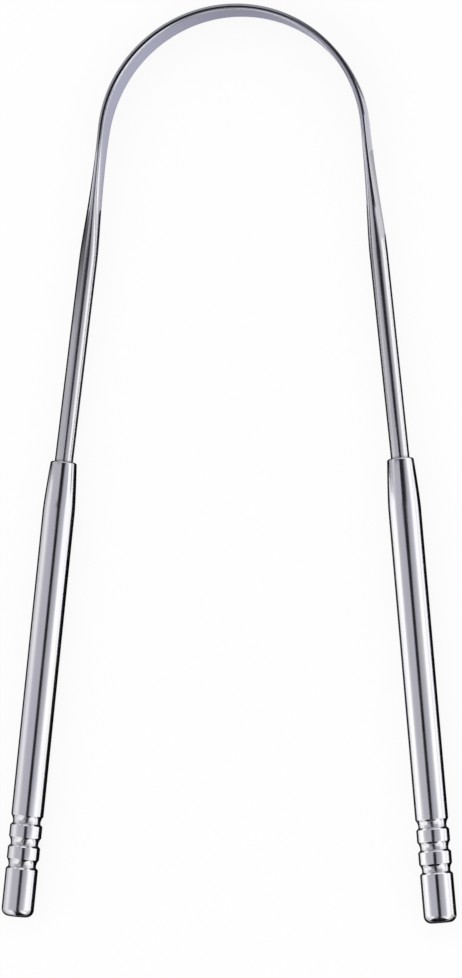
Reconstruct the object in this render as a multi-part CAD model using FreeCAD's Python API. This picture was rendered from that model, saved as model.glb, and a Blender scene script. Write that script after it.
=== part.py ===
import FreeCAD, Part
import math
import os

from FreeCAD import Vector

# Tongue scraper: a steel wire bow pressed flat into a blade, with a grooved tube handle on each leg.
# Millimetres. The tool lies flat on a table, as it rests when it is put down: +Y from the handle ends to
# the crown of the bow, X across the two handles, +Z up through the width of the blade. The origin is on
# the table, under the middle of the tool's length.

# The wire and the blade that is pressed from its middle
WIRE_DIAMETER = 3.2
BLADE_THICKNESS = 1.25
BLADE_WIDTH = 6.4
BLADE_FACE_HALF_ANGLE = 2.0      # degrees of arc of the nearly flat face, each side of its middle
WIRE_FACE_HALF_ANGLE = 45.0      # the same share of the section where the wire is still round
TRANSITION_LENGTH = 33.0         # over which the flat blade runs out into the round wire
TRANSITION_LEAD = 9.7            # part of that length that lies on the arch, before the straight leg
TRANSITION_SECTIONS = 15

# The line of the bow, from the middle of the crown down one leg
ARCH_RADIUS = 23.3
LEG_LENGTH = 58.25               # from the end of the arch to the bend at the handle
LEG_TILT = 6.3                   # degrees between the leg and the tool's middle line
NECK_BEND = 1.03                 # degrees that the wire turns in where it enters the handle
NECK_BEND_RADIUS = 16.0
SHANK_LENGTH = 14.0              # straight end of the wire inside the handle
SHANK_CHAMFER = 0.3

# The handle tubes
HANDLE_DIAMETER = 5.6
HANDLE_WALL = 0.8
HANDLE_LENGTH = 79.05            # from the rim to the end of the plug
NECK_LENGTH = 8.5                # tapered top of the tube
NECK_LAND = 1.5                  # short straight bore that grips the wire
NECK_CLEARANCE = 0.02            # on the radius, between the wire and that bore
RIM_WALL = 0.68
RIM_CHAMFER = 0.35

# The turned grooves, counted up from the end
GROOVE_COUNT = 3
GROOVE_HEIGHT = 8.2              # first edge of the lowest groove, from the end of the handle
GROOVE_PITCH = 3.75
GROOVE_DEPTH = 0.4
GROOVE_LOWER_FLANK = 0.4
GROOVE_FLOOR = 0.25
GROOVE_UPPER_FLANK = 1.1         # hollow: level at the floor, steepest at the upper corner

# The end plugs
END_FLAT_DIAMETER = 3.0          # flat in the middle of the plug's rounded head
SPIGOT_TO_GROOVE = 1.8           # from the top of the plug's spigot to the lowest groove
SPIGOT_CLEARANCE = 0.02          # on the radius, between the spigot and the tube's bore
SPIGOT_CHAMFER = 0.4

WIRE_RADIUS = WIRE_DIAMETER / 2
HANDLE_RADIUS = HANDLE_DIAMETER / 2
BORE_RADIUS = HANDLE_RADIUS - HANDLE_WALL
NECK_BORE_RADIUS = WIRE_RADIUS + NECK_CLEARANCE
RIM_RADIUS = NECK_BORE_RADIUS + RIM_WALL
END_FLAT_RADIUS = END_FLAT_DIAMETER / 2
END_ROUND = HANDLE_RADIUS - END_FLAT_RADIUS
REST_HEIGHT = max(BLADE_WIDTH, HANDLE_DIAMETER) / 2
LEG_TURN = 90.0 - LEG_TILT
HANDLE_TURN = LEG_TURN + NECK_BEND
HANDLE_TILT = LEG_TILT - NECK_BEND
ARCH_LENGTH = ARCH_RADIUS * math.radians(LEG_TURN)
UP = Vector(0, 0, 1)


def heading(turn):
    """Direction along the bow after it has turned by an angle from the crown."""
    angle = math.radians(turn)
    return Vector(math.cos(angle), -math.sin(angle), 0)


def inward(turn):
    """Direction from the bow's line to the centre that it curves about."""
    angle = math.radians(turn)
    return Vector(-math.sin(angle), -math.cos(angle), 0)


def after_arc(start, radius, turn_from, turn_to):
    """Point that an arc of the bow's line ends at."""
    centre = start + inward(turn_from) * radius
    return centre - inward(turn_to) * radius


def stations(crown):
    """Where the arch ends, the leg ends, the handle starts and the handle ends, for a crown point."""
    leg_start = after_arc(crown, ARCH_RADIUS, 0, LEG_TURN)
    leg_end = leg_start + heading(LEG_TURN) * LEG_LENGTH
    rim_centre = after_arc(leg_end, NECK_BEND_RADIUS, LEG_TURN, HANDLE_TURN)
    end_centre = rim_centre + heading(HANDLE_TURN) * HANDLE_LENGTH
    return leg_start, leg_end, rim_centre, end_centre


# A tilted handle reaches a little past the middle of its rounded end, at the edge of the end's flat
tilt = math.radians(HANDLE_TILT)
end_reach = END_ROUND * (1 - math.cos(tilt)) + END_FLAT_RADIUS * math.sin(tilt)
length = BLADE_THICKNESS / 2 - stations(Vector(0, 0, 0))[-1].y + end_reach
crown_middle = Vector(0, length / 2 - BLADE_THICKNESS / 2, REST_HEIGHT)
leg_start, leg_end, rim_centre, end_centre = stations(crown_middle)


def on_bow(distance):
    """Point of the bow's line and its turn there, by the distance along it from the crown."""
    if distance < ARCH_LENGTH:
        turn = math.degrees(distance / ARCH_RADIUS)
        return after_arc(crown_middle, ARCH_RADIUS, 0, turn), turn
    return leg_start + heading(LEG_TURN) * (distance - ARCH_LENGTH), LEG_TURN


def pressed_section(centre, turn, width, thickness, face_half_angle):
    """Outline of the pressed wire square to the bow's line: two shallow faces and two round edges.

    The four arcs run into each other without a corner, from a flat blade to a plain circle.
    """
    half_width = width / 2
    half_thickness = thickness / 2
    angle = math.radians(face_half_angle)
    centre_distance = (half_width - half_thickness) / (math.sin(angle) + math.cos(angle) - 1)
    edge_radius = half_thickness - centre_distance * (1 - math.cos(angle))
    joint_across = half_width - edge_radius + edge_radius * math.sin(angle)
    joint_through = edge_radius * math.cos(angle)

    def at(across, through):
        return centre + UP * across - inward(turn) * through

    outer_low = at(-joint_across, joint_through)
    outer_high = at(joint_across, joint_through)
    inner_high = at(joint_across, -joint_through)
    inner_low = at(-joint_across, -joint_through)
    return Part.Wire([
        Part.Arc(outer_low, at(0, half_thickness), outer_high).toShape(),
        Part.Arc(outer_high, at(half_width, 0), inner_high).toShape(),
        Part.Arc(inner_high, at(0, -half_thickness), inner_low).toShape(),
        Part.Arc(inner_low, at(-half_width, 0), outer_low).toShape(),
    ])


def bent(section, start, radius, turn_from, turn_to):
    """Solid of a section carried along one arc of the bow's line."""
    centre = start + inward(turn_from) * radius
    return Part.Face(section).revolve(centre, UP, turn_from - turn_to)


# Pressing squeezes the steel out sideways, so a narrower section is thicker: its area, taken as that of
# a flat strip with round edges, changes only little by little from the blade's to the wire's
EDGE_LOSS = 1 - math.pi / 4


def strip_area(width, thickness):
    return width * thickness - EDGE_LOSS * thickness ** 2


def strip_thickness(width, area):
    return (width - math.sqrt(width ** 2 - 4 * EDGE_LOSS * area)) / (2 * EDGE_LOSS)


def eased_between(start, end, share):
    return start + (end - start) * share * share * (3 - 2 * share)


def transition():
    """Blade running out into round wire, from the last of the arch to well down the leg."""
    blade_area = strip_area(BLADE_WIDTH, BLADE_THICKNESS)
    wire_area = strip_area(WIRE_DIAMETER, WIRE_DIAMETER)
    sections = []
    for index in range(TRANSITION_SECTIONS):
        share = index / (TRANSITION_SECTIONS - 1)
        centre, turn = on_bow(ARCH_LENGTH - TRANSITION_LEAD + share * TRANSITION_LENGTH)
        width = eased_between(BLADE_WIDTH, WIRE_DIAMETER, share)
        thickness = strip_thickness(width, eased_between(blade_area, wire_area, share))
        face_half_angle = eased_between(BLADE_FACE_HALF_ANGLE, WIRE_FACE_HALF_ANGLE, share)
        sections.append(pressed_section(centre, turn, width, thickness, face_half_angle))
    return Part.makeLoft(sections, True, True)


def shank():
    """Straight end of the wire inside the handle, with its cut edge broken."""
    straight = SHANK_LENGTH - SHANK_CHAMFER
    body = Part.makeCylinder(WIRE_RADIUS, straight, rim_centre, heading(HANDLE_TURN))
    tip_start = rim_centre + heading(HANDLE_TURN) * straight
    tip = Part.makeCone(WIRE_RADIUS, WIRE_RADIUS - SHANK_CHAMFER, SHANK_CHAMFER,
                        tip_start, heading(HANDLE_TURN))
    return body.fuse(tip)


def mirrored(shape):
    return shape.mirror(Vector(0, 0, 0), Vector(1, 0, 0))


def scraper_bow():
    """The whole wire in one piece: blade, transitions, legs and shanks."""
    blade_turn = on_bow(ARCH_LENGTH - TRANSITION_LEAD)[1]
    crown_section = pressed_section(crown_middle, 0, BLADE_WIDTH, BLADE_THICKNESS, BLADE_FACE_HALF_ANGLE)
    half_blade = bent(crown_section, crown_middle, ARCH_RADIUS, 0, blade_turn)
    round_start = on_bow(ARCH_LENGTH - TRANSITION_LEAD + TRANSITION_LENGTH)[0]
    leg = Part.makeCylinder(WIRE_RADIUS, (leg_end - round_start).Length, round_start, heading(LEG_TURN))
    wire_section = pressed_section(leg_end, LEG_TURN, WIRE_DIAMETER, WIRE_DIAMETER, WIRE_FACE_HALF_ANGLE)
    neck_bend = bent(wire_section, leg_end, NECK_BEND_RADIUS, LEG_TURN, HANDLE_TURN)
    half = [half_blade, transition(), leg, neck_bend, shank()]
    other_half = [mirrored(piece) for piece in half]
    return half[0].multiFuse(half[1:] + other_half).removeSplitter()


def outline_edges(points):
    return [Part.makeLine(start, end) for start, end in zip(points, points[1:])]


def revolved(edges):
    return Part.Face(Part.Wire(edges)).revolve(Vector(0, 0, 0), UP, 360)


def groove_outline(start):
    """Profile of the grooves, from the lowest one up: a steep flank, a short floor and a hollow flank.

    Gives its edges from a start point on the tube's outside, and the point that they end at.
    """
    floor_radius = HANDLE_RADIUS - GROOVE_DEPTH
    hollow_radius = (GROOVE_UPPER_FLANK ** 2 + GROOVE_DEPTH ** 2) / (2 * GROOVE_DEPTH)
    half_sweep = math.atan2(GROOVE_UPPER_FLANK, hollow_radius - GROOVE_DEPTH) / 2
    edges = []
    for index in range(GROOVE_COUNT):
        foot = GROOVE_HEIGHT + index * GROOVE_PITCH
        floor_start = Vector(floor_radius, 0, foot + GROOVE_LOWER_FLANK)
        floor_end = floor_start + UP * GROOVE_FLOOR
        hollow_middle = floor_end + Vector(hollow_radius * (1 - math.cos(half_sweep)), 0,
                                           hollow_radius * math.sin(half_sweep))
        top = Vector(HANDLE_RADIUS, 0, floor_end.z + GROOVE_UPPER_FLANK)
        edges += outline_edges([start, Vector(HANDLE_RADIUS, 0, foot), floor_start, floor_end])
        edges.append(Part.Arc(floor_end, hollow_middle, top).toShape())
        start = top
    return edges, start


def handle_tube():
    """Tube about the Z axis, its end at the origin: necked top with a broken rim, grooves, open end."""
    neck_start = HANDLE_LENGTH - NECK_LENGTH
    land_start = HANDLE_LENGTH - NECK_LAND
    open_end = Vector(HANDLE_RADIUS, 0, END_ROUND)
    grooves, groove_top = groove_outline(open_end)
    outside = [
        groove_top,
        Vector(HANDLE_RADIUS, 0, neck_start),
        Vector(RIM_RADIUS, 0, HANDLE_LENGTH - RIM_CHAMFER),
        Vector(RIM_RADIUS - RIM_CHAMFER, 0, HANDLE_LENGTH),
    ]
    inside = [
        Vector(NECK_BORE_RADIUS, 0, HANDLE_LENGTH),
        Vector(NECK_BORE_RADIUS, 0, land_start),
        Vector(BORE_RADIUS, 0, neck_start),
        Vector(BORE_RADIUS, 0, END_ROUND),
        open_end,
    ]
    return revolved(grooves + outline_edges(outside + inside))


def end_plug():
    """Plug about the Z axis: rounded head flush with the tube, spigot inside it."""
    spigot_radius = BORE_RADIUS - SPIGOT_CLEARANCE
    spigot_top = GROOVE_HEIGHT - SPIGOT_TO_GROOVE
    outline = [
        Vector(HANDLE_RADIUS, 0, END_ROUND),
        Vector(spigot_radius, 0, END_ROUND),
        Vector(spigot_radius, 0, spigot_top - SPIGOT_CHAMFER),
        Vector(spigot_radius - SPIGOT_CHAMFER, 0, spigot_top),
        Vector(0, 0, spigot_top),
        Vector(0, 0, 0),
        Vector(END_FLAT_RADIUS, 0, 0),
    ]
    corner = END_ROUND * math.sqrt(0.5)
    corner_middle = Vector(END_FLAT_RADIUS + corner, 0, END_ROUND - corner)
    head = Part.Arc(outline[-1], corner_middle, outline[0]).toShape()
    return revolved(outline_edges(outline) + [head])


def on_right_leg(shape):
    """Shape made about the Z axis, laid on the line of the right handle."""
    placed = shape.copy()
    placed.Placement = FreeCAD.Placement(end_centre, FreeCAD.Rotation(UP, -heading(HANDLE_TURN)))
    return placed


right_handle = on_right_leg(handle_tube())
right_plug = on_right_leg(end_plug())
nodes = {
    "scraper_bow": scraper_bow(),
    "left_handle_tube": mirrored(right_handle),
    "right_handle_tube": right_handle,
    "left_end_plug": mirrored(right_plug),
    "right_end_plug": right_plug,
}

os.makedirs("parts", exist_ok=True)
for name, shape in nodes.items():
    shape.exportStep("parts/" + name + ".step")
    box = shape.optimalBoundingBox()
    print(name, "valid" if shape.isValid() else "NOT VALID", len(shape.Solids), "solid",
          round(shape.Volume, 2), "mm3, x", round(box.XMin, 2), round(box.XMax, 2),
          "y", round(box.YMin, 2), round(box.YMax, 2), "z", round(box.ZMin, 2), round(box.ZMax, 2))
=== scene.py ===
import math

import bmesh
import bpy
from mathutils import Matrix, Vector


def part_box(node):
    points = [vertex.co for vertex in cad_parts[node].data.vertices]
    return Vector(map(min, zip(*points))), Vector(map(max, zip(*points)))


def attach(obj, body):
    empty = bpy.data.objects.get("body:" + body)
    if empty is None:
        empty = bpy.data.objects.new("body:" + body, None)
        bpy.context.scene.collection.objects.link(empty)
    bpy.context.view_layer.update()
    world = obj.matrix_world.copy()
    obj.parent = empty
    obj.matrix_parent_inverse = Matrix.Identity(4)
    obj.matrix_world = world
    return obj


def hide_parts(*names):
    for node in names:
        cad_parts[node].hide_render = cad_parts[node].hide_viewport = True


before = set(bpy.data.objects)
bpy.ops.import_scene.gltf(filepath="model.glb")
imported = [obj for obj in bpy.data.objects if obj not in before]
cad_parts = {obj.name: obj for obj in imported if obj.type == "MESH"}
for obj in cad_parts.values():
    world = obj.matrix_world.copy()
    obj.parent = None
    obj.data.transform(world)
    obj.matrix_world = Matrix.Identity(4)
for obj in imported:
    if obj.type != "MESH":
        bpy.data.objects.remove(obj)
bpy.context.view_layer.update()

# Scraper bow. One round spring steel wire, pressed flat over its middle into the scraping blade and then
# bent into a U. Pressing moves the steel sideways, so the flat blade runs out smoothly into round wire.
# Its two straight ends sit inside the handle tubes, which are squeezed onto it.
MM = 0.001
WIRE_DIAMETER = 3.2 * MM
BLADE_THICKNESS = 1.25 * MM
BLADE_WIDTH = 6.4 * MM
BLADE_FACE_ANGLE = math.radians(2.0)
WIRE_FACE_ANGLE = math.radians(45.0)
PRESS_RUNOUT = 33.0 * MM
PRESS_LEAD = 9.7 * MM
ARCH_RADIUS = 23.3 * MM
LEG_LENGTH = 58.25 * MM
LEG_TURN = math.radians(83.7)
NECK_BEND = math.radians(1.03)
NECK_BEND_RADIUS = 16.0 * MM
SHANK_LENGTH = 14.0 * MM
SHANK_CHAMFER = 0.3 * MM
BOW_RING_POINTS = 96
BOW_RING_STEP = 0.5 * MM
PLAIN_LEG_RINGS = 8
MERGE_DISTANCE = 0.001 * MM
SHARP_ANGLE = math.radians(25)
ARCH_LENGTH = ARCH_RADIUS * LEG_TURN
BEND_LENGTH = NECK_BEND_RADIUS * NECK_BEND
HANDLE_TURN = LEG_TURN + NECK_BEND
PRESS_END = ARCH_LENGTH - PRESS_LEAD
RUNOUT_END = PRESS_END + PRESS_RUNOUT
LEG_END = ARCH_LENGTH + LEG_LENGTH
RIM_DISTANCE = LEG_END + BEND_LENGTH
bow_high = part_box("scraper_bow")[1]
CROWN = Vector((0, bow_high.y - BLADE_THICKNESS / 2, BLADE_WIDTH / 2))
EDGE_LOSS = 1 - math.pi / 4


def heading(turn):
    """Direction along the bow after it has turned by an angle from the crown."""
    return Vector((math.cos(turn), -math.sin(turn), 0))


def outward(turn):
    """Direction away from the inside of the bow."""
    return Vector((math.sin(turn), math.cos(turn), 0))


def on_bow(distance):
    """Point on the middle line of the wire and the turn there, by the distance from the crown."""
    arch_turn = min(distance / ARCH_RADIUS, LEG_TURN)
    point = CROWN + (outward(arch_turn) - outward(0)) * ARCH_RADIUS
    point += heading(LEG_TURN) * min(max(distance - ARCH_LENGTH, 0), LEG_LENGTH)
    bend = min(max(distance - LEG_END, 0) / NECK_BEND_RADIUS, NECK_BEND)
    point += (outward(arch_turn + bend) - outward(arch_turn)) * NECK_BEND_RADIUS
    point += heading(HANDLE_TURN) * max(distance - RIM_DISTANCE, 0)
    return point, arch_turn + bend


def strip_area(width, thickness):
    """Area of a flat strip whose two edges are full rounds."""
    return width * thickness - EDGE_LOSS * thickness ** 2


def pressed_size(distance):
    """Width, thickness and half angle of the face of the pressed wire at a distance from the crown."""
    share = min(max((distance - PRESS_END) / PRESS_RUNOUT, 0), 1)
    ease = share * share * (3 - 2 * share)
    width = BLADE_WIDTH + (WIRE_DIAMETER - BLADE_WIDTH) * ease
    blade_area = strip_area(BLADE_WIDTH, BLADE_THICKNESS)
    area = blade_area + (strip_area(WIRE_DIAMETER, WIRE_DIAMETER) - blade_area) * ease
    thickness = (width - math.sqrt(width ** 2 - 4 * EDGE_LOSS * area)) / (2 * EDGE_LOSS)
    return width, thickness, BLADE_FACE_ANGLE + (WIRE_FACE_ANGLE - BLADE_FACE_ANGLE) * ease


def lay_ring(distance, shrink=0.0):
    """Moves the picked ring of points to its place on the bow and presses it to its section there."""
    centre, turn = on_bow(distance)
    width, thickness, angle = pressed_size(distance)
    spread = max(width - thickness, 0) / 2 / (math.sin(angle) + math.cos(angle) - 1)
    edge_radius = thickness / 2 - spread * (1 - math.cos(angle)) - shrink
    starts = [-angle, angle, math.pi - angle, math.pi + angle, 2 * math.pi - angle]
    mesh = bmesh.from_edit_mesh(bpy.context.object.data)
    around = mesh.verts.layers.float["around"]
    along = mesh.verts.layers.float["along"]
    for point in mesh.verts:
        if not point.select:
            continue
        quarter = int(point[around])
        turned = starts[quarter] + (starts[quarter + 1] - starts[quarter]) * (point[around] - quarter)
        across = edge_radius * math.sin(turned)
        through = edge_radius * math.cos(turned)
        if quarter % 2:
            across += spread * math.sin(angle) * (1 if quarter == 1 else -1)
        else:
            side = 1 if quarter == 0 else -1
            across += spread * math.sin(turned)
            through += spread * (math.cos(turned) - side * math.cos(angle))
        point.co = centre + outward(turn) * through + Vector((0, 0, across))
        point[along] = distance
    bmesh.update_edit_mesh(bpy.context.object.data)


bpy.ops.object.select_all(action="DESELECT")
bpy.ops.mesh.primitive_circle_add(vertices=BOW_RING_POINTS, radius=WIRE_DIAMETER / 2, location=(0, 0, 0))
bow = bpy.context.object
bow.name = "bow_wire"
bow.data.attributes.new("around", "FLOAT", "POINT")
bow.data.attributes.new("along", "FLOAT", "POINT")
for index, mark in enumerate(bow.data.attributes["around"].data):
    mark.value = 4 * index / BOW_RING_POINTS
bpy.ops.object.mode_set(mode="EDIT")
lay_ring(0)
press_rings = round(RUNOUT_END / BOW_RING_STEP)
ring_places = [RUNOUT_END * index / press_rings for index in range(1, press_rings + 1)]
plain_leg = LEG_END - RUNOUT_END
ring_places += [RUNOUT_END + plain_leg * index / PLAIN_LEG_RINGS for index in range(1, PLAIN_LEG_RINGS + 1)]
ring_places += [RIM_DISTANCE, RIM_DISTANCE + SHANK_LENGTH - SHANK_CHAMFER]
for place in ring_places:
    bpy.ops.mesh.extrude_region_move()
    lay_ring(place)
bpy.ops.mesh.extrude_region_move()
lay_ring(RIM_DISTANCE + SHANK_LENGTH, shrink=SHANK_CHAMFER)
bpy.ops.mesh.extrude_region_move()
bpy.ops.mesh.merge(type="CENTER")
bpy.ops.object.mode_set(mode="OBJECT")
mirror = bow.modifiers.new("other_leg", "MIRROR")
mirror.merge_threshold = MERGE_DISTANCE
bpy.ops.object.modifier_apply(modifier=mirror.name)
bpy.ops.object.mode_set(mode="EDIT")
bpy.ops.mesh.select_all(action="SELECT")
bpy.ops.mesh.remove_doubles(threshold=MERGE_DISTANCE)
bpy.ops.mesh.normals_make_consistent(inside=False)
bpy.ops.object.mode_set(mode="OBJECT")
bpy.ops.object.shade_smooth_by_angle(angle=SHARP_ANGLE)


class Value:
    """A number that changes over a surface. Sums on it add Math nodes to its tree."""

    def __init__(self, tree, socket):
        self.tree = tree
        self.socket = socket

    def maths(self, operation, first, second):
        """Adds one Math node."""
        return self.tree.node("ShaderNodeMath", {"operation": operation}, {0: first, 1: second})

    def __add__(self, other):
        return self.maths("ADD", self, other)

    def __sub__(self, other):
        return self.maths("SUBTRACT", self, other)

    def __mul__(self, other):
        return self.maths("MULTIPLY", self, other)

    def __rsub__(self, other):
        return self.maths("SUBTRACT", other, self)

    __radd__ = __add__
    __rmul__ = __mul__


class Tree:
    """The nodes of one material or of the world."""

    def __init__(self, owner):
        owner.use_nodes = True
        self.tree = owner.node_tree
        self.tree.nodes.clear()

    def node(self, kind, settings=None, sockets=None, output=0):
        """Adds a node, sets it, fills its sockets with numbers or links, and gives back one output."""
        made = self.tree.nodes.new(kind)
        for name, setting in (settings or {}).items():
            setattr(made, name, setting)
        for name, filling in (sockets or {}).items():
            if isinstance(filling, Value):
                self.tree.links.new(filling.socket, made.inputs[name])
            else:
                made.inputs[name].default_value = filling
        return Value(self, made.outputs[output]) if made.outputs else made

    def smooth(self, value, low, high):
        """0 below low, 1 above high, with a soft change between."""
        return self.node("ShaderNodeMapRange", {"interpolation_type": "SMOOTHSTEP"},
                         {"Value": value, "From Min": low, "From Max": high})

    def noise(self, place, scale, detail=2.0):
        """Cloudy values about 0.5."""
        return self.node("ShaderNodeTexNoise", None, {"Vector": place, "Scale": scale, "Detail": detail})

    def blended(self, share, first, second):
        """A colour between two. On a Mix node, colours go in at sockets 6 and 7 and come out at 2."""
        return self.node("ShaderNodeMix", {"data_type": "RGBA"}, {"Factor": share, 6: first, 7: second}, 2)

    def bumped(self, height, strength, depth, normal=None):
        """The direction of a surface that rises and falls, on top of another bump if one is given."""
        sockets = {"Strength": strength, "Distance": depth, "Height": height}
        if normal:
            sockets["Normal"] = normal
        return self.node("ShaderNodeBump", None, sockets)

    def end_in_steel(self, colour, roughness, edge_tint, normal):
        """Ends a material's nodes in bare metal."""
        steel = self.node("ShaderNodeBsdfPrincipled", None,
                          {"Base Color": colour, "Metallic": 1.0, "Roughness": roughness,
                           "Specular Tint": edge_tint, "Normal": normal})
        self.node("ShaderNodeOutputMaterial", None, {"Surface": steel})


def on_piece(tree):
    """Place on a piece, and its place along the piece's length."""
    place = tree.node("ShaderNodeTexCoord", output="Object")
    return place, tree.node("ShaderNodeAttribute", {"attribute_name": "along"}, output="Fac")


def lengthwise(tree, place, along, stretch):
    """Place on a drawn or turned piece with its length squeezed, so that noise on it makes long streaks."""
    around = tree.node("ShaderNodeVectorMath", {"operation": "MULTIPLY"}, {0: place, 1: (1.0, 0.0, 1.0)})
    run = tree.node("ShaderNodeCombineXYZ", None, {"Y": along * stretch})
    return tree.node("ShaderNodeVectorMath", {"operation": "ADD"}, {0: around, 1: run})


WIRE_COLOUR = (0.54, 0.54, 0.55, 1)
BLADE_COLOUR = (0.54, 0.54, 0.60, 1)
PATCH_COLOUR = (0.47, 0.47, 0.49, 1)
# Dark colour painted on the wire as shade where it goes into the handle tube.
RIM_SHADE_COLOUR = (0.16, 0.15, 0.15, 1)
BOW_EDGE_TINT = (0.7, 0.7, 0.73, 1)
PATCH_SHARE = 0.35
RIM_SHADE_SHARE = 0.6
RIM_SHADE_FADE = 0.5 * MM
DRAWN_STRETCH = 0.04
DRAWN_SCALE = 9000.0
DRAWN_STRENGTH = 0.15
DRAWN_DEPTH = 0.004 * MM
BOW_PATCH_SCALE = 130.0
BOW_WAVE_SCALE = 220.0
BOW_WAVE_DEPTH = 0.03 * MM
WAVE_STRENGTH = 0.5
WAVE_DETAIL = 1.0
FINE_DETAIL = 3.0
NOISE_MIDDLE = 0.5
WIRE_ROUGHNESS = 0.17
BLADE_POLISH = 0.03
PATCH_ROUGHNESS = 0.10
DRAWN_ROUGHNESS = 0.08

bow_steel = bpy.data.materials.new("drawn_bow_steel")
tree = Tree(bow_steel)
place, along = on_piece(tree)
drawing_lines = tree.noise(lengthwise(tree, place, along, DRAWN_STRETCH), DRAWN_SCALE, FINE_DETAIL)
patches = tree.noise(place, BOW_PATCH_SCALE, FINE_DETAIL)
blade = 1 - tree.smooth(along, PRESS_END, RUNOUT_END)
# Painted shade: the wire is painted darker from just before the tube's rim on into the handle, where the
# tube shades it.
rim_shade = tree.smooth(along, RIM_DISTANCE - RIM_SHADE_FADE, RIM_DISTANCE)
clean = tree.blended(blade, WIRE_COLOUR, BLADE_COLOUR)
marked = tree.blended(patches * PATCH_SHARE, clean, PATCH_COLOUR)
colour = tree.blended(rim_shade * RIM_SHADE_SHARE, marked, RIM_SHADE_COLOUR)
roughness = WIRE_ROUGHNESS - blade * BLADE_POLISH + (patches - NOISE_MIDDLE) * PATCH_ROUGHNESS
roughness = roughness + (drawing_lines - NOISE_MIDDLE) * DRAWN_ROUGHNESS
lines_bump = tree.bumped(drawing_lines, DRAWN_STRENGTH, DRAWN_DEPTH)
waves = tree.noise(place, BOW_WAVE_SCALE, WAVE_DETAIL)
waves_bump = tree.bumped(waves, WAVE_STRENGTH, BOW_WAVE_DEPTH, lines_bump)
tree.end_in_steel(colour, roughness, BOW_EDGE_TINT, waves_bump)
bow.data.materials.append(bow_steel)
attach(bow, "root")
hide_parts("scraper_bow")

# Handle tubes. A thin steel tube on each leg, its top swaged down onto the wire and its rim broken, with
# three grooves turned near the open lower end. Each groove has a steep lower flank and a hollow upper one.
# Made once about its own axis, polished bright, then laid on each leg.
HANDLE_RADIUS = 2.8 * MM
HANDLE_LENGTH = 79.05 * MM
BORE_RADIUS = 2.0 * MM
NECK_LENGTH = 8.5 * MM
NECK_LAND = 1.5 * MM
NECK_BORE_RADIUS = 1.62 * MM
RIM_RADIUS = 2.3 * MM
RIM_ROUND = 0.35 * MM
END_ROUND = 1.3 * MM
GROOVE_COUNT = 3
GROOVE_HEIGHT = 8.2 * MM
GROOVE_PITCH = 3.75 * MM
GROOVE_DEPTH = 0.4 * MM
GROOVE_LOWER_FLANK = 0.4 * MM
GROOVE_FLOOR = 0.25 * MM
GROOVE_UPPER_FLANK = 1.1 * MM
GROOVE_CORNER = 0.06 * MM
GROOVE_CORNER_STEPS = 4
NECK_CURVE = 1.3
HOLLOW_RINGS = 10
NECK_RINGS = 12
RIM_RINGS = 6
TUBE_RING_POINTS = 96
RING_TOLERANCE = 0.01 * MM
BORE_MARGIN = 0.1 * MM
HANDLE_TILT = math.pi / 2 - HANDLE_TURN
HANDS = ((-1, "left"), (1, "right"))


def start_turning(name, points, radius, height):
    """Starts a round piece about the Z axis with one ring of points."""
    bpy.ops.object.select_all(action="DESELECT")
    bpy.ops.mesh.primitive_circle_add(vertices=points, radius=radius, location=(0, 0, height))
    bpy.ops.object.transform_apply(location=True, rotation=True, scale=True)
    piece = bpy.context.object
    piece.name = name
    bpy.ops.object.mode_set(mode="EDIT")
    return piece


def turn_on(profile):
    """Extrudes the picked ring along a profile of radius and height, which starts with the ring's own."""
    for (old_radius, old_height), (radius, height) in zip(profile, profile[1:]):
        bpy.ops.mesh.extrude_region_move(TRANSFORM_OT_translate={"value": (0, 0, height - old_height)})
        ratio = radius / old_radius
        bpy.ops.transform.resize(value=(ratio, ratio, 1), center_override=(0, 0, height))


def pick_rings(piece, heights, radius_over):
    """Picks the rings of edges that lie at these heights, outside a radius."""
    bpy.ops.mesh.select_all(action="DESELECT")
    bpy.ops.mesh.select_mode(type="EDGE")
    mesh = bmesh.from_edit_mesh(piece.data)
    for edge in mesh.edges:
        start, end = (point.co for point in edge.verts)
        level = abs(start.z - end.z) < MERGE_DISTANCE and start.xy.length > radius_over
        if level and any(abs(start.z - height) < RING_TOLERANCE for height in heights):
            edge.select = True
    bmesh.update_edit_mesh(piece.data)


def finish_turning(piece):
    """Closes the seams, turns the faces out and keeps each point's height as its place along the piece."""
    bpy.ops.mesh.select_mode(type="VERT")
    bpy.ops.mesh.select_all(action="SELECT")
    bpy.ops.mesh.remove_doubles(threshold=MERGE_DISTANCE)
    bpy.ops.mesh.normals_make_consistent(inside=False)
    bpy.ops.object.mode_set(mode="OBJECT")
    bpy.ops.object.shade_smooth_by_angle(angle=SHARP_ANGLE)
    heights = piece.data.attributes.new("along", "FLOAT", "POINT")
    for point, mark in zip(piece.data.vertices, heights.data):
        mark.value = point.co.z


def lay_on_leg(piece, side, name):
    """Copies a turned piece onto one leg of the bow, with its end where the handle ends."""
    copy = piece.copy()
    copy.data = piece.data.copy()
    copy.name = name
    bpy.context.collection.objects.link(copy)
    handle_end = on_bow(RIM_DISTANCE + HANDLE_LENGTH)[0]
    copy.location = (side * handle_end.x, handle_end.y, handle_end.z)
    copy.rotation_euler = (-math.pi / 2, 0, side * HANDLE_TILT)
    bpy.ops.object.select_all(action="DESELECT")
    copy.select_set(True)
    bpy.context.view_layer.objects.active = copy
    bpy.ops.object.transform_apply(location=True, rotation=True, scale=True)
    return copy


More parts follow.
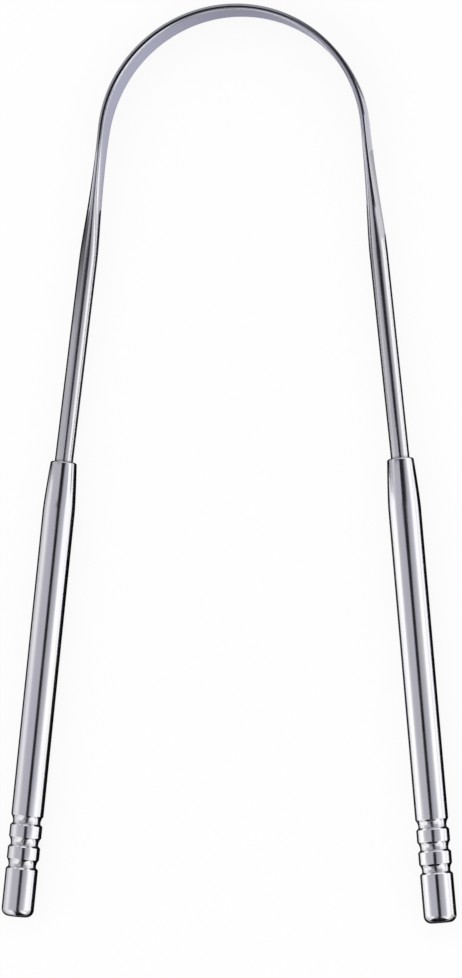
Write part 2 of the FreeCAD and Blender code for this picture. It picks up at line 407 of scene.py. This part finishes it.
groove_profile = []
groove_corners = []
floor_radius = HANDLE_RADIUS - GROOVE_DEPTH
hollow_radius = (GROOVE_UPPER_FLANK ** 2 + GROOVE_DEPTH ** 2) / (2 * GROOVE_DEPTH)
hollow_sweep = math.atan2(GROOVE_UPPER_FLANK, hollow_radius - GROOVE_DEPTH)
for index in range(GROOVE_COUNT):
    foot = GROOVE_HEIGHT + index * GROOVE_PITCH
    floor_start = foot + GROOVE_LOWER_FLANK
    floor_end = floor_start + GROOVE_FLOOR
    groove_profile += [(HANDLE_RADIUS, foot), (floor_radius, floor_start)]
    for step in range(HOLLOW_RINGS + 1):
        angle = hollow_sweep * step / HOLLOW_RINGS
        groove_profile.append((floor_radius + hollow_radius * (1 - math.cos(angle)),
                               floor_end + hollow_radius * math.sin(angle)))
    groove_corners += [foot, floor_start, floor_end + GROOVE_UPPER_FLANK]
neck_foot = HANDLE_LENGTH - NECK_LENGTH
rim_foot = HANDLE_LENGTH - RIM_ROUND
neck_profile = []
for index in range(NECK_RINGS + 1):
    share = index / NECK_RINGS
    neck_profile.append((HANDLE_RADIUS - (HANDLE_RADIUS - RIM_RADIUS) * share ** NECK_CURVE,
                         neck_foot + (rim_foot - neck_foot) * share))
rim_profile = []
for index in range(1, RIM_RINGS + 1):
    angle = math.pi / 2 * index / RIM_RINGS
    rim_profile.append((RIM_RADIUS - RIM_ROUND * (1 - math.cos(angle)),
                        rim_foot + RIM_ROUND * math.sin(angle)))
bore_profile = [(NECK_BORE_RADIUS, HANDLE_LENGTH), (NECK_BORE_RADIUS, HANDLE_LENGTH - NECK_LAND),
                (BORE_RADIUS, neck_foot), (BORE_RADIUS, END_ROUND), (HANDLE_RADIUS, END_ROUND)]
tube = start_turning("turned_tube", TUBE_RING_POINTS, HANDLE_RADIUS, END_ROUND)
turn_on([(HANDLE_RADIUS, END_ROUND)] + groove_profile + neck_profile + rim_profile + bore_profile)
pick_rings(tube, groove_corners, BORE_RADIUS + BORE_MARGIN)
bpy.ops.mesh.bevel(offset=GROOVE_CORNER, segments=GROOVE_CORNER_STEPS, affect="EDGES")
finish_turning(tube)

TUBE_COLOUR = (0.55, 0.55, 0.58, 1)
STREAK_COLOUR = (0.57, 0.57, 0.57, 1)
# Dark colour painted into the groove floors as shade.
GROOVE_SHADE_COLOUR = (0.30, 0.29, 0.30, 1)
NO_EDGE_TINT = (0.0, 0.0, 0.0, 1)
GROOVE_SHADE_SHARE = 0.25
FLOOR_MASK_CORE = 0.15 * MM
FLOOR_MASK_BELOW = 0.45 * MM
FLOOR_MASK_ABOVE = 0.5 * MM
STREAK_STRETCH = 0.03
STREAK_SCALE = 700.0
STREAK_RANGE = (0.35, 0.65)
TURNED_SCALE = 6000.0
TURNED_DETAIL = 4.0
TURNED_STRENGTH = 0.12
TURNED_DEPTH = 0.003 * MM
TUBE_SMUDGE_SCALE = 160.0
TUBE_WAVE_SCALE = 260.0
TUBE_WAVE_DEPTH = 0.02 * MM
TUBE_ROUGHNESS = 0.15
SMUDGE_ROUGHNESS = 0.10
TURNED_ROUGHNESS = 0.05
GROOVE_ROUGHNESS = 0.06


def rings_along(tree, along, scale):
    """Fine rings round a turned piece, left by the tool and the polishing."""
    return tree.node("ShaderNodeTexNoise", {"noise_dimensions": "1D"},
                     {"W": along, "Scale": scale, "Detail": TURNED_DETAIL})


tube_steel = bpy.data.materials.new("polished_tube_steel")
tree = Tree(tube_steel)
place, along = on_piece(tree)
turning_lines = rings_along(tree, along, TURNED_SCALE)
streaks = tree.noise(lengthwise(tree, place, along, STREAK_STRETCH), STREAK_SCALE)
smudges = tree.noise(place, TUBE_SMUDGE_SCALE, FINE_DETAIL)
# Painted shade: the groove floors are painted darker, and are also made a little rougher.
groove_floors = 0.0
for index in range(GROOVE_COUNT):
    middle = GROOVE_HEIGHT + index * GROOVE_PITCH + GROOVE_LOWER_FLANK + GROOVE_FLOOR / 2
    above_foot = tree.smooth(along, middle - FLOOR_MASK_BELOW, middle - FLOOR_MASK_CORE)
    above_floor = tree.smooth(along, middle + FLOOR_MASK_CORE, middle + FLOOR_MASK_ABOVE)
    groove_floors = groove_floors + above_foot * (1 - above_floor)
clean = tree.blended(tree.smooth(streaks, *STREAK_RANGE), TUBE_COLOUR, STREAK_COLOUR)
colour = tree.blended(groove_floors * GROOVE_SHADE_SHARE, clean, GROOVE_SHADE_COLOUR)
roughness = TUBE_ROUGHNESS + (smudges - NOISE_MIDDLE) * SMUDGE_ROUGHNESS
roughness = roughness + (turning_lines - NOISE_MIDDLE) * TURNED_ROUGHNESS + groove_floors * GROOVE_ROUGHNESS
lines_bump = tree.bumped(turning_lines, TURNED_STRENGTH, TURNED_DEPTH)
waves = tree.noise(place, TUBE_WAVE_SCALE, WAVE_DETAIL)
waves_bump = tree.bumped(waves, WAVE_STRENGTH, TUBE_WAVE_DEPTH, lines_bump)
tree.end_in_steel(colour, roughness, NO_EDGE_TINT, waves_bump)
tube.data.materials.append(tube_steel)
for side, hand in HANDS:
    handle = lay_on_leg(tube, side, hand + "_handle")
    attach(handle, "root")
    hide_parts(hand + "_handle_tube")
bpy.data.objects.remove(tube)

# End plugs. A solid steel plug closes the lower end of each tube: a spigot pressed into the bore, and a
# rounded head that is turned flush with the tube and polished with it.
END_FLAT_RADIUS = 1.5 * MM
SPIGOT_RADIUS = 1.98 * MM
SPIGOT_TOP = 6.4 * MM
SPIGOT_CHAMFER = 0.4 * MM
HEAD_RINGS = 14
PLUG_RING_POINTS = 96
POLE_RADIUS = 0.05 * MM
FLAT_RING_RADIUS = 0.5 * MM

plug_profile = [(POLE_RADIUS, SPIGOT_TOP), (SPIGOT_RADIUS - SPIGOT_CHAMFER, SPIGOT_TOP),
                (SPIGOT_RADIUS, SPIGOT_TOP - SPIGOT_CHAMFER), (SPIGOT_RADIUS, END_ROUND)]
for index in range(HEAD_RINGS + 1):
    angle = math.pi / 2 * index / HEAD_RINGS
    plug_profile.append((END_FLAT_RADIUS + END_ROUND * math.cos(angle),
                         END_ROUND - END_ROUND * math.sin(angle)))
plug_profile += [(FLAT_RING_RADIUS, 0.0), (POLE_RADIUS, 0.0)]
plug = start_turning("turned_plug", PLUG_RING_POINTS, POLE_RADIUS, SPIGOT_TOP)
bpy.ops.mesh.edge_face_add()
turn_on(plug_profile)
finish_turning(plug)

PLUG_COLOUR = (0.57, 0.57, 0.58, 1)
SMUDGE_COLOUR = (0.50, 0.50, 0.52, 1)
SMUDGE_SHARE = 0.4
PLUG_SMUDGE_SCALE = 260.0
PLUG_RING_SCALE = 7000.0
PLUG_ROUGHNESS = 0.14

plug_steel = bpy.data.materials.new("polished_plug_steel")
tree = Tree(plug_steel)
place, along = on_piece(tree)
rings = rings_along(tree, along, PLUG_RING_SCALE)
smudges = tree.noise(place, PLUG_SMUDGE_SCALE, FINE_DETAIL)
colour = tree.blended(smudges * SMUDGE_SHARE, PLUG_COLOUR, SMUDGE_COLOUR)
roughness = PLUG_ROUGHNESS + (smudges - NOISE_MIDDLE) * SMUDGE_ROUGHNESS
roughness = roughness + (rings - NOISE_MIDDLE) * TURNED_ROUGHNESS
tree.end_in_steel(colour, roughness, NO_EDGE_TINT, tree.bumped(rings, TURNED_STRENGTH, TURNED_DEPTH))
plug.data.materials.append(plug_steel)
for side, hand in HANDS:
    end = lay_on_leg(plug, side, hand + "_plug")
    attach(end, "root")
    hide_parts(hand + "_end_plug")
bpy.data.objects.remove(plug)

# Table. A matt white plate that the tool lies on. It takes the tool's shadow near by, and turns into the
# plain white background further out.
TABLE_SIZE = 8.0
TABLE_COLOUR = (0.95, 0.95, 0.95, 1)
TABLE_ROUGHNESS = 0.6
PLAIN_WHITE = (1, 1, 1, 1)
WHITE_RANGE = (0.16, 0.5)
SEEN_WHITE_SHARE = 0.88

bpy.ops.object.select_all(action="DESELECT")
bpy.ops.mesh.primitive_plane_add(size=TABLE_SIZE, location=(0, 0, 0))
table = bpy.context.object
table.name = "table"
table_white = bpy.data.materials.new("matt_white_table")
tree = Tree(table_white)
spot = tree.node("ShaderNodeTexCoord", output="Object")
distance = tree.node("ShaderNodeVectorMath", {"operation": "LENGTH"}, {0: spot}, "Value")
far_out = tree.smooth(distance, *WHITE_RANGE)
camera_ray = tree.node("ShaderNodeLightPath", output="Is Camera Ray")
white_share = tree.node("ShaderNodeMath", {"operation": "MAXIMUM"},
                        {0: far_out, 1: camera_ray * SEEN_WHITE_SHARE})
matt_white = tree.node("ShaderNodeBsdfPrincipled", None,
                       {"Base Color": TABLE_COLOUR, "Roughness": TABLE_ROUGHNESS,
                        "Specular IOR Level": 0.0})
plain = tree.node("ShaderNodeEmission", None, {"Color": PLAIN_WHITE, "Strength": 1.0})
surface = tree.node("ShaderNodeMixShader", None, {0: white_share, 1: matt_white, 2: plain})
tree.node("ShaderNodeOutputMaterial", None, {"Surface": surface})
table.data.materials.append(table_white)

# Edge cards. Strips of black, grey and white card on the table along the handles and legs, laid as a
# photographer does, to give polished steel its dark outline with a bright band inside it. A low white wall
# stands between the handles.
BLACK = (0.005, 0.005, 0.006)
DARK = (0.03, 0.03, 0.04)
GREY = (0.10, 0.10, 0.12)
PALE = (1.10, 1.09, 1.15)
BRIGHT = (1.75, 1.75, 1.75)
CARD_LIFT = 0.05 * MM
UPPER_CARD_LIFT = 2 * CARD_LIFT
CARD_BLUR = 10.0 * MM
HANDLE_BLACK_NEAR = 3.0 * MM
HANDLE_GREY_NEAR = 3.4 * MM
HANDLE_GREY_FAR = 13.0 * MM
LEG_DARK_NEAR = 1.6 * MM
LEFT_LEG_DARK_FAR = 90.0 * MM
RIGHT_LEG_DARK_FAR = 22.0 * MM
RIGHT_WHITE_NEAR = 11.0 * MM
INNER_REACH = 26.0 * MM
OUTER_REACH = 70.0 * MM
LEG_CARDS_STOP = RUNOUT_END - 10.0 * MM
OUTER_DARK_STOP = RUNOUT_END - 4.5 * MM
MIDDLE_WALL_FROM = Vector((0, -90.0 * MM, 0))
MIDDLE_WALL_TO = Vector((0, -4.0 * MM, 0))
MIDDLE_WALL_HEIGHT = 22.0 * MM


def only_reflected(card):
    """Keeps a studio card out of the picture: only the polished steel sees it."""
    card.visible_camera = False
    card.visible_diffuse = False
    card.visible_shadow = False
    card.visible_transmission = False
    card.visible_volume_scatter = False


def paint_card(card, shade, right_shade=None, meet=0.0):
    """Paints a card with one even shade, or with two that meet softly at a place across the tool."""
    paper = bpy.data.materials.new(card.name + "_paper")
    tree = Tree(paper)
    colour = (*shade, 1)
    if right_shade:
        spot = tree.node("ShaderNodeTexCoord", output="Object")
        right = tree.node("ShaderNodeSeparateXYZ", None, {0: spot}, "X")
        share = tree.smooth(right, meet - CARD_BLUR, meet + CARD_BLUR)
        colour = tree.blended(share, colour, (*right_shade, 1))
    glow = tree.node("ShaderNodeEmission", None, {"Color": colour, "Strength": 1.0})
    tree.node("ShaderNodeOutputMaterial", None, {"Surface": glow})
    card.data.materials.append(paper)
    only_reflected(card)


def place_card(name, middle, tilt, run, width, shade):
    """Puts a strip of card round a middle point, with its length along a run, and paints it."""
    bpy.ops.object.select_all(action="DESELECT")
    bpy.ops.mesh.primitive_plane_add(size=1.0, location=(0, 0, 0))
    strip = bpy.context.object
    strip.name = name
    strip.location = middle
    strip.rotation_euler = (tilt, 0, math.atan2(run.y, run.x))
    strip.scale = (run.length, width, 1)
    bpy.ops.object.transform_apply(location=True, rotation=True, scale=True)
    paint_card(strip, shade)


def lay_card(name, start, end, near, far, shade, height=CARD_LIFT):
    """Lays a level strip along a line of the tool, between two distances to the left of that line."""
    run = end - start
    beside = Vector((-run.y, run.x, 0)).normalized()
    middle = (start + end) / 2 + beside * (near + far) / 2
    place_card(name, (middle.x, middle.y, height), 0, run, abs(far - near), shade)


def stand_card(name, start, end, height, shade, foot=CARD_LIFT):
    """Stands a strip on edge along a line on the table, or hangs it with its foot at a height."""
    middle = (start + end) / 2
    place_card(name, (middle.x, middle.y, foot + height / 2), math.pi / 2, end - start, height, shade)


def on_side(distance, side):
    """Point on the table under one side of the bow, by the distance from the crown."""
    point = on_bow(distance)[0]
    return Vector((side * point.x, point.y, 0))


for side, hand in HANDS:
    left = side < 0
    end = on_side(RIM_DISTANCE + HANDLE_LENGTH, side)
    rim = on_side(RIM_DISTANCE, side)
    leg_stop = on_side(LEG_CARDS_STOP, side)
    right_reach = INNER_REACH if left else OUTER_REACH
    left_reach = OUTER_REACH if left else INNER_REACH
    left_white = PALE if left else BRIGHT
    right_dark_stop = leg_stop if left else on_side(OUTER_DARK_STOP, side)
    left_dark_stop = on_side(ARCH_LENGTH, side) if left else leg_stop
    left_dark_far = LEFT_LEG_DARK_FAR if left else RIGHT_LEG_DARK_FAR
    lay_card(hand + "_handle_right_black", end, rim, -HANDLE_BLACK_NEAR, -RIGHT_WHITE_NEAR, BLACK)
    lay_card(hand + "_handle_right_white", end, rim, -RIGHT_WHITE_NEAR, -right_reach, BRIGHT)
    lay_card(hand + "_handle_left_grey", end, rim, HANDLE_GREY_NEAR, HANDLE_GREY_FAR, GREY)
    lay_card(hand + "_handle_left_white", end, rim, HANDLE_GREY_FAR, left_reach, left_white)
    lay_card(hand + "_leg_right_dark", rim, right_dark_stop, -LEG_DARK_NEAR, -RIGHT_WHITE_NEAR, DARK)
    lay_card(hand + "_leg_right_white", rim, leg_stop, -RIGHT_WHITE_NEAR, -right_reach, BRIGHT)
    lay_card(hand + "_leg_left_dark", rim, left_dark_stop, LEG_DARK_NEAR, left_dark_far, DARK)
stand_card("middle_wall", MIDDLE_WALL_FROM, MIDDLE_WALL_TO, MIDDLE_WALL_HEIGHT, BRIGHT)

# End cards. Past each handle end lies black card and then grey, and a black wall stands behind them.
# They give the rounded end its dark rim.
END_CARD_REACH = Vector((10.0 * MM, 0, 0))
END_BLACK_NEAR = 0.3 * MM
END_GREY_NEAR = 4.0 * MM
END_GREY_FAR = 19.5 * MM
END_WALL_GAP = Vector((0, 20.0 * MM, 0))
END_WALL_HEIGHT = 30.0 * MM
LEFT_END_WALL = (Vector((4.0 * MM, 0, 0)), Vector((15.0 * MM, 0, 0)))
RIGHT_END_WALL = (Vector((21.0 * MM, 0, 0)), Vector((19.0 * MM, 0, 0)))

for side, hand in HANDS:
    end = on_side(RIM_DISTANCE + HANDLE_LENGTH, side)
    card_left = end - END_CARD_REACH
    card_right = end + END_CARD_REACH
    lay_card(hand + "_end_black", card_left, card_right, -END_BLACK_NEAR, -END_GREY_NEAR, BLACK)
    lay_card(hand + "_end_far_grey", card_left, card_right, -END_GREY_NEAR, -END_GREY_FAR, GREY)
    wall_left, wall_right = LEFT_END_WALL if side < 0 else RIGHT_END_WALL
    wall_line = end - END_WALL_GAP
    stand_card(hand + "_end_wall", wall_line - wall_left, wall_line + wall_right, END_WALL_HEIGHT, BLACK)

# Neck cards. A grey card hangs over each neck, so that the tapered steel mirrors the same grey as the
# handle below it.
PANEL_GREY = (0.74, 0.73, 0.81)
NECK_CARD_BELOW = 3.0 * MM
NECK_CARD_ABOVE = 9.0 * MM
NECK_CARD_WIDTH = 24.0 * MM
NECK_CARD_HEIGHT = 33.0 * MM
LEFT_NECK_NEAR = 0.5 * MM
RIGHT_NECK_NEAR = 2.3 * MM

for side, hand in HANDS:
    rim = on_side(RIM_DISTANCE, side)
    along_handle = (rim - on_side(RIM_DISTANCE + HANDLE_LENGTH, side)).normalized()
    card_from = rim - along_handle * NECK_CARD_BELOW
    card_to = rim + along_handle * NECK_CARD_ABOVE
    near = LEFT_NECK_NEAR if side < 0 else RIGHT_NECK_NEAR
    far = near + NECK_CARD_WIDTH
    lay_card(hand + "_neck_grey", card_from, card_to, near, far, PANEL_GREY, NECK_CARD_HEIGHT)

# Leg walls. A wall beside the left leg darkens in steps toward the arch. On the right, where the flat runs
# out, a low pale wall with black card above it stands close by, and pale card lies at the foot of the arch.
LEFT_WALL_GAP = Vector((30.0 * MM, 0, 0))
LEFT_WALL_HEIGHT = 40.0 * MM
LEFT_WALL_STEPS = [5.0 * MM, 31.0 * MM, 36.0 * MM, 41.0 * MM, 45.0 * MM, 50.0 * MM]
LEFT_WALL_GREYS = [0.74, 0.52, 0.35, 0.20, 0.10]
LEFT_WALL_BLUE = 1.08
RIGHT_WALL_GAP = Vector((6.5 * MM, 0, 0))
RIGHT_WALL_PAST_LEG = 3.0 * MM
PALE_WALL_HEIGHT = 7.5 * MM
BLACK_WALL_HEIGHT = 16.5 * MM
FOOT_CARD_BELOW = 4.0 * MM
FOOT_CARD_ABOVE = 10.0 * MM
FOOT_CARD_NEAR = 0.7 * MM
FOOT_CARD_FAR = 6.0 * MM

left_rim = on_side(RIM_DISTANCE, -1)
along_left_leg = (on_side(ARCH_LENGTH, -1) - left_rim).normalized()
wall_foot = left_rim - LEFT_WALL_GAP
for index, grey in enumerate(LEFT_WALL_GREYS):
    wall_from = wall_foot + along_left_leg * LEFT_WALL_STEPS[index]
    wall_to = wall_foot + along_left_leg * LEFT_WALL_STEPS[index + 1]
    wall_shade = (grey, grey, grey * LEFT_WALL_BLUE)
    stand_card("left_leg_wall_%d" % index, wall_from, wall_to, LEFT_WALL_HEIGHT, wall_shade)
leg_top = on_side(ARCH_LENGTH, 1)
along_right_leg = (leg_top - on_side(RIM_DISTANCE, 1)).normalized()
pale_from = on_side(OUTER_DARK_STOP, 1) + RIGHT_WALL_GAP
black_from = on_side(LEG_CARDS_STOP, 1) + RIGHT_WALL_GAP
wall_to = leg_top + along_right_leg * RIGHT_WALL_PAST_LEG + RIGHT_WALL_GAP
stand_card("right_runout_wall", pale_from, wall_to, PALE_WALL_HEIGHT, PALE)
stand_card("right_runout_black", black_from, wall_to, BLACK_WALL_HEIGHT, BLACK, PALE_WALL_HEIGHT)
card_from = leg_top - along_right_leg * FOOT_CARD_BELOW
card_to = leg_top + along_right_leg * FOOT_CARD_ABOVE
lay_card("right_runout_white", card_from, card_to, -FOOT_CARD_NEAR, -FOOT_CARD_FAR, PALE, UPPER_CARD_LIFT)

# Arch cards. Rings of card on the table inside and outside the arch, a band hung round it and a canopy over
# it. They give the blade's rounded edge its black line between a grey and a bright one, and its face a pale
# lavender.
LAVENDER = (0.86, 0.86, 0.98)
DEEP_LAVENDER = (0.58, 0.58, 0.66)
MID_GREY = (0.50, 0.50, 0.53)
ARCH_CENTRE = CROWN - outward(0) * ARCH_RADIUS
EDGE_MEET = 14.0 * MM
FACE_MEET = -10.0 * MM
CARD_RING_POINTS = 96
DISC_HOLE = 1.0 * MM
DISC_RADIUS = 17.0 * MM
INSIDE_RING_RADIUS = 22.6 * MM
OUTSIDE_RING_HOLE = 24.4 * MM
OUTSIDE_RING_RADIUS = 36.0 * MM
BAND_RADIUS = 32.5 * MM
BAND_FOOT = 3.0 * MM
CANOPY_HEIGHT = 20.0 * MM
CANOPY_RING_RADIUS = 27.5 * MM
CANOPY_EDGE_RADIUS = 32.4 * MM
APEX_CARD_FROM = Vector((3.0 * MM, 50.0 * MM, 0))
APEX_CARD_TO = Vector((3.0 * MM, 72.0 * MM, 0))
APEX_CARD_WIDTH = 12.0 * MM


def ring_card(name, inner, outer, foot, half=True, rise=0.0):
    """Makes a ring round the middle of the arch, level or on edge, and keeps its crownward half or all."""
    bpy.ops.object.select_all(action="DESELECT")
    centre = (0, ARCH_CENTRE.y, foot)
    bpy.ops.mesh.primitive_circle_add(vertices=CARD_RING_POINTS, radius=inner, location=centre)
    bpy.ops.object.transform_apply(location=True, rotation=True, scale=True)
    ring = bpy.context.object
    ring.name = name
    bpy.ops.object.mode_set(mode="EDIT")
    bpy.ops.mesh.extrude_region_move(TRANSFORM_OT_translate={"value": (0, 0, rise)})
    spread = outer / inner
    bpy.ops.transform.resize(value=(spread, spread, 1), center_override=(0, ARCH_CENTRE.y, foot + rise))
    if half:
        bpy.ops.mesh.select_all(action="SELECT")
        bpy.ops.mesh.bisect(plane_co=(0, ARCH_CENTRE.y, 0), plane_no=(0, -1, 0), clear_outer=True)
    bpy.ops.object.mode_set(mode="OBJECT")
    return ring


outside_ring = ring_card("arch_ring_outside", OUTSIDE_RING_HOLE, OUTSIDE_RING_RADIUS, CARD_LIFT)
paint_card(outside_ring, MID_GREY, DARK, EDGE_MEET)
band = ring_card("arch_band", BAND_RADIUS, BAND_RADIUS, BAND_FOOT, rise=CANOPY_HEIGHT - BAND_FOOT)
paint_card(band, MID_GREY, DARK, EDGE_MEET)
inside_ring = ring_card("arch_ring_inside", DISC_RADIUS, INSIDE_RING_RADIUS, CARD_LIFT, half=False)
paint_card(inside_ring, LAVENDER, DEEP_LAVENDER, FACE_MEET)
paint_card(ring_card("arch_disc", DISC_HOLE, DISC_RADIUS, CARD_LIFT, half=False), BRIGHT)
paint_card(ring_card("canopy_edge", CANOPY_RING_RADIUS, CANOPY_EDGE_RADIUS, CANOPY_HEIGHT), BLACK)
canopy_ring = ring_card("canopy_ring", DISC_RADIUS, CANOPY_RING_RADIUS, CANOPY_HEIGHT)
paint_card(canopy_ring, BLACK, MID_GREY, EDGE_MEET)
paint_card(ring_card("canopy_disc", DISC_HOLE, DISC_RADIUS, CANOPY_HEIGHT), DARK, LAVENDER)
lay_card("apex_grey", APEX_CARD_FROM, APEX_CARD_TO, 0, APEX_CARD_WIDTH, MID_GREY, UPPER_CARD_LIFT)

# Overhead panel. A diffuser above the table that the steel mirrors: grey on the left, a black gap round the
# camera that opens out toward the crown, and grey on the right that brightens outward.
PANEL_HEIGHT = 0.65
PANEL_SIZE = 2.4
GAP_SHADE = (0.008, 0.008, 0.012, 1)
GAP_LEFT = -0.016
GAP_RIGHT = 0.232
GAP_BLUR = 0.03
GAP_OPENS_FROM = 0.05
GAP_OPENS_LEFT = 2.9
GAP_OPENS_RIGHT = 1.2
LEFT_BLUR_GROWS = 1.6
RIGHT_BLUR_GROWS = 0.7
GAP_FOOT_END = (0.7, 1.0)
GAP_CROWN_END = (0.32, 0.45)
PANEL_LEFT = (*PANEL_GREY, 1)
PANEL_FAR_LEFT = (1.02, 1.01, 1.08, 1)
FAR_LEFT_RANGE = (-1.1, -0.5)
PANEL_RIGHT = (0.58, 0.58, 0.64, 1)
PANEL_MID_RIGHT = (0.74, 0.74, 0.80, 1)
PANEL_FAR_RIGHT = (1.25, 1.25, 1.28, 1)
MID_RIGHT_RANGE = (0.25, 0.6)
FAR_RIGHT_RANGE = (0.6, 1.2)
SIDES_MEET_RANGE = (0.08, 0.12)
FOOT_LEFT = (1.5, 1.5, 1.55, 1)
FOOT_MIDDLE = (0.40, 0.40, 0.44, 1)
FOOT_RIGHT = (1.40, 1.40, 1.42, 1)
FOOT_RANGE = (0.16, 0.40)
FOOT_LEFT_RANGE = (-0.45, -0.22)
FOOT_RIGHT_RANGE = (0.25, 0.5)

bpy.ops.object.select_all(action="DESELECT")
bpy.ops.mesh.primitive_plane_add(size=PANEL_SIZE, location=(0, 0, PANEL_HEIGHT))
bpy.ops.object.transform_apply(location=True, rotation=True, scale=True)
panel = bpy.context.object
panel.name = "overhead_panel"
diffuser = bpy.data.materials.new("overhead_diffuser")
tree = Tree(diffuser)
spot = tree.node("ShaderNodeTexCoord", output="Object")
right = tree.node("ShaderNodeSeparateXYZ", None, {0: spot}, "X")
crownward = tree.node("ShaderNodeSeparateXYZ", None, {0: spot}, "Y")
footward = 0 - crownward
past_rims = tree.node("ShaderNodeMath", {"operation": "MAXIMUM"}, {0: crownward - GAP_OPENS_FROM, 1: 0.0})
left_blur = past_rims * LEFT_BLUR_GROWS + GAP_BLUR
right_blur = past_rims * RIGHT_BLUR_GROWS + GAP_BLUR
past_left = tree.smooth(right - GAP_LEFT + past_rims * GAP_OPENS_LEFT, 0 - left_blur, left_blur)
past_right = tree.smooth(right - GAP_RIGHT - past_rims * GAP_OPENS_RIGHT, 0 - right_blur, right_blur)
gap = past_left * (1 - past_right)
gap = gap * (1 - tree.smooth(footward, *GAP_FOOT_END)) * (1 - tree.smooth(crownward, *GAP_CROWN_END))
left_side = tree.blended(1 - tree.smooth(right, *FAR_LEFT_RANGE), PANEL_LEFT, PANEL_FAR_LEFT)
right_side = tree.blended(tree.smooth(right, *MID_RIGHT_RANGE), PANEL_RIGHT, PANEL_MID_RIGHT)
right_side = tree.blended(tree.smooth(right, *FAR_RIGHT_RANGE), right_side, PANEL_FAR_RIGHT)
lit = tree.blended(tree.smooth(right, *SIDES_MEET_RANGE), left_side, right_side)
foot_light = tree.blended(tree.smooth(right, *FOOT_LEFT_RANGE), FOOT_LEFT, FOOT_MIDDLE)
foot_light = tree.blended(tree.smooth(right, *FOOT_RIGHT_RANGE), foot_light, FOOT_RIGHT)
lit = tree.blended(tree.smooth(footward, *FOOT_RANGE), lit, foot_light)
shade = tree.blended(gap, lit, GAP_SHADE)
glow = tree.node("ShaderNodeEmission", None, {"Color": shade, "Strength": 1.0})
tree.node("ShaderNodeOutputMaterial", None, {"Surface": glow})
panel.data.materials.append(diffuser)
only_reflected(panel)

# Light tent. White all round for the table and the background. Past the panel the steel sees a bright side
# on the right, a paler one on the left and grey behind the handle ends.
TENT_LEFT = (1.30, 1.29, 1.35, 1)
TENT_RIGHT = (1.80, 1.80, 1.80, 1)
TENT_FOOT = (0.50, 0.50, 0.54, 1)
TENT_MEET_RANGE = (-0.2, 0.2)
TENT_FOOT_RANGE = (0.86, 0.95)

world = bpy.data.worlds.new("light_tent")
bpy.context.scene.world = world
tree = Tree(world)
toward = tree.node("ShaderNodeTexCoord", output="Generated")
right = tree.node("ShaderNodeSeparateXYZ", None, {0: toward}, "X")
crownward = tree.node("ShaderNodeSeparateXYZ", None, {0: toward}, "Y")
side_light = tree.blended(tree.smooth(right, *TENT_MEET_RANGE), TENT_LEFT, TENT_RIGHT)
seen = tree.blended(tree.smooth(0 - crownward, *TENT_FOOT_RANGE), side_light, TENT_FOOT)
glossy_ray = tree.node("ShaderNodeLightPath", output="Is Glossy Ray")
light = tree.blended(glossy_ray, PLAIN_WHITE, seen)
background = tree.node("ShaderNodeBackground", None, {"Color": light, "Strength": 1.0})
tree.node("ShaderNodeOutputWorld", None, {"Surface": background})

# Camera. Above the table and a little to the right and toward the handle ends, as the photograph was taken,
# with a long lens.
CAMERA_PLACE = Vector((0.1185, -0.060, 0.6032))
CAMERA_YAW = math.radians(11.16)
CAMERA_PITCH = math.radians(5.11)
CAMERA_ROLL = math.radians(0.51)
CAMERA_LENS = 131.1
CAMERA_NEAR = 0.01

ahead = Vector((-math.sin(CAMERA_YAW) * math.cos(CAMERA_PITCH), math.sin(CAMERA_PITCH),
                -math.cos(CAMERA_YAW) * math.cos(CAMERA_PITCH)))
level_right = ahead.cross(Vector((0, 1, 0))).normalized()
level_up = level_right.cross(ahead)
picture_right = level_right * math.cos(CAMERA_ROLL) + level_up * math.sin(CAMERA_ROLL)
picture_up = level_up * math.cos(CAMERA_ROLL) - level_right * math.sin(CAMERA_ROLL)
camera_data = bpy.data.cameras.new("camera")
camera_data.lens = CAMERA_LENS
camera_data.clip_start = CAMERA_NEAR
camera = bpy.data.objects.new("camera", camera_data)
bpy.context.scene.collection.objects.link(camera)
camera_turn = Matrix((picture_right, picture_up, -ahead)).transposed()
camera.matrix_world = Matrix.Translation(CAMERA_PLACE) @ camera_turn.to_4x4()
bpy.context.scene.camera = camera
bpy.context.scene.view_settings.view_transform = "Standard"
